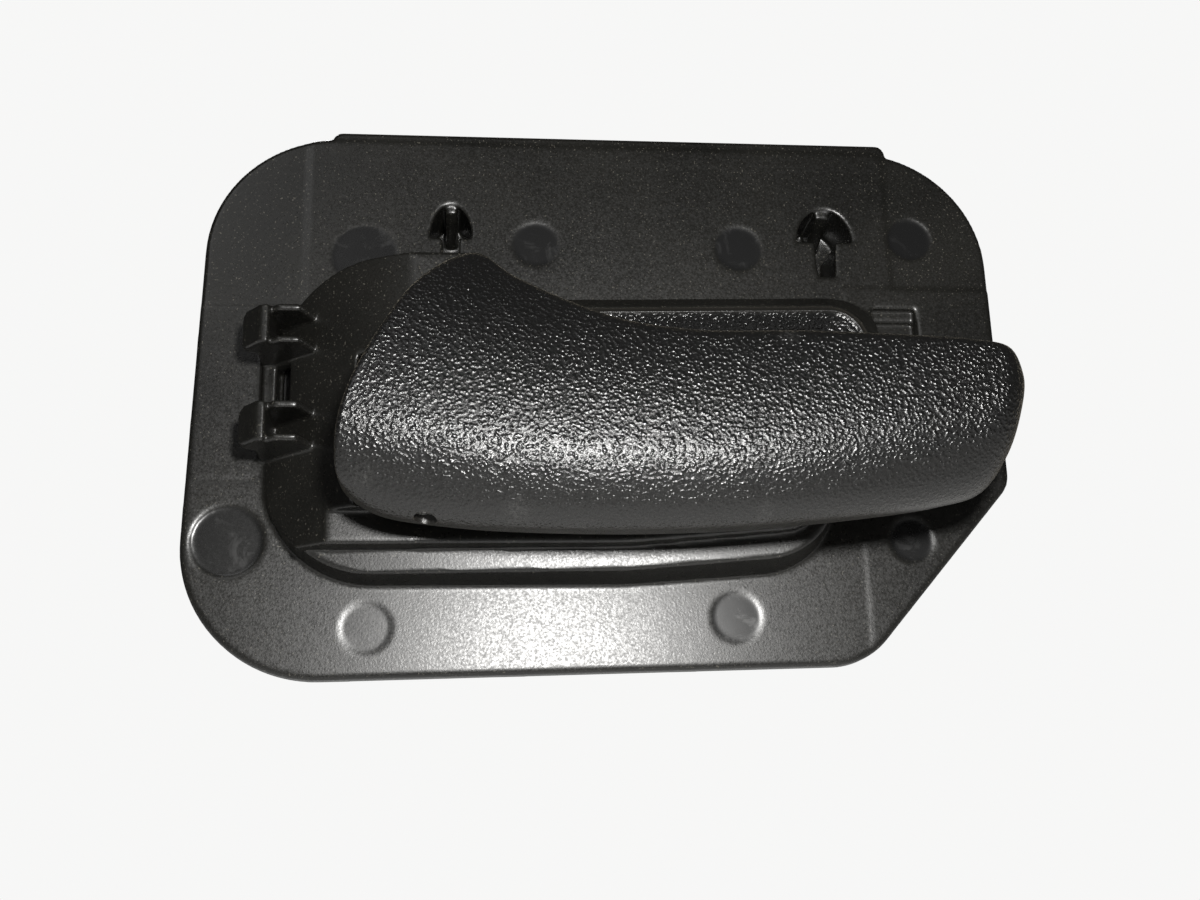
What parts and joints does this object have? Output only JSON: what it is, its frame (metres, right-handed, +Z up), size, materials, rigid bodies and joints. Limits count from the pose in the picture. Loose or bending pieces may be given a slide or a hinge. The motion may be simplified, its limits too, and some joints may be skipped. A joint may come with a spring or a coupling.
{
  "type": "inner car door handle",
  "caption": "Inner car door handle: moulded base plate with grained finger cup and a sprung pull lever that turns on an upright pin and works a rod clip behind the plate.",
  "frame": {"origin": "on the flange's rear face, in the flat strip below the housing, midway along the plate", "axes": "+X from the pivot to the lever's free end, +Z up, +Y into the door, so the driver sees the -Y side"},
  "size_m": [0.131, 0.0414, 0.0908],
  "materials": {
    "plate_plastic": "black polypropylene with a fine pale fleck, semi-matt",
    "grained_plastic": "black plastic with leather grain, satin",
    "core_plastic": "black glass-filled nylon, matt",
    "pin_steel": "ground steel",
    "spring_steel": "drawn spring wire",
    "bush_plastic": "natural acetal",
    "clip_plastic": "natural nylon",
    "buffer_rubber": "black rubber",
    "seal_foam": "closed-cell foam",
    "screw_steel": "zinc plated"
  },
  "bodies": {
    "base": {"base_plate": "plate_plastic", "finger_cup": "grained_plastic", "pivot_pin": "pin_steel", "pin_clip": "spring_steel", "lower_thrust_washer": "bush_plastic", "upper_thrust_washer": "bush_plastic", "return_spring": "spring_steel", "rest_buffer": "buffer_rubber", "open_buffer": "buffer_rubber", "rear_seal": "seal_foam", "rear_shield": "core_plastic", "shield_screw_lower": "screw_steel", "shield_screw_upper": "screw_steel"},
    "lever": {"lever_shell": "grained_plastic", "lever_core": "core_plastic", "lower_bush": "bush_plastic", "upper_bush": "bush_plastic", "lever_screw_left": "screw_steel", "lever_screw_right": "screw_steel", "rod_clip_retainer": "spring_steel"},
    "rod_swivel": {"rod_clip": "clip_plastic"}
  },
  "joints": [
    {"name": "lever_turn", "type": "hinge", "parent": "base", "child": "lever", "pos_m": [-0.0282, -0.023, 0.036], "axis": [0, 0, -1], "range_deg": [0, 35], "stiffness_Nm_per_rad": 0.12, "springref_deg": -34.38, "deforming": ["return_spring"]},
    {"name": "rod_clip_swivel", "type": "hinge", "parent": "lever", "child": "rod_swivel", "pos_m": [-0.0382, 0.0075, 0.036], "axis": [0, 0, -1], "range_deg": [-35, 0]}
  ],
  "couplings": [
    {"joint": "rod_clip_swivel", "follows": "lever_turn", "ratio": -1}
  ]
}
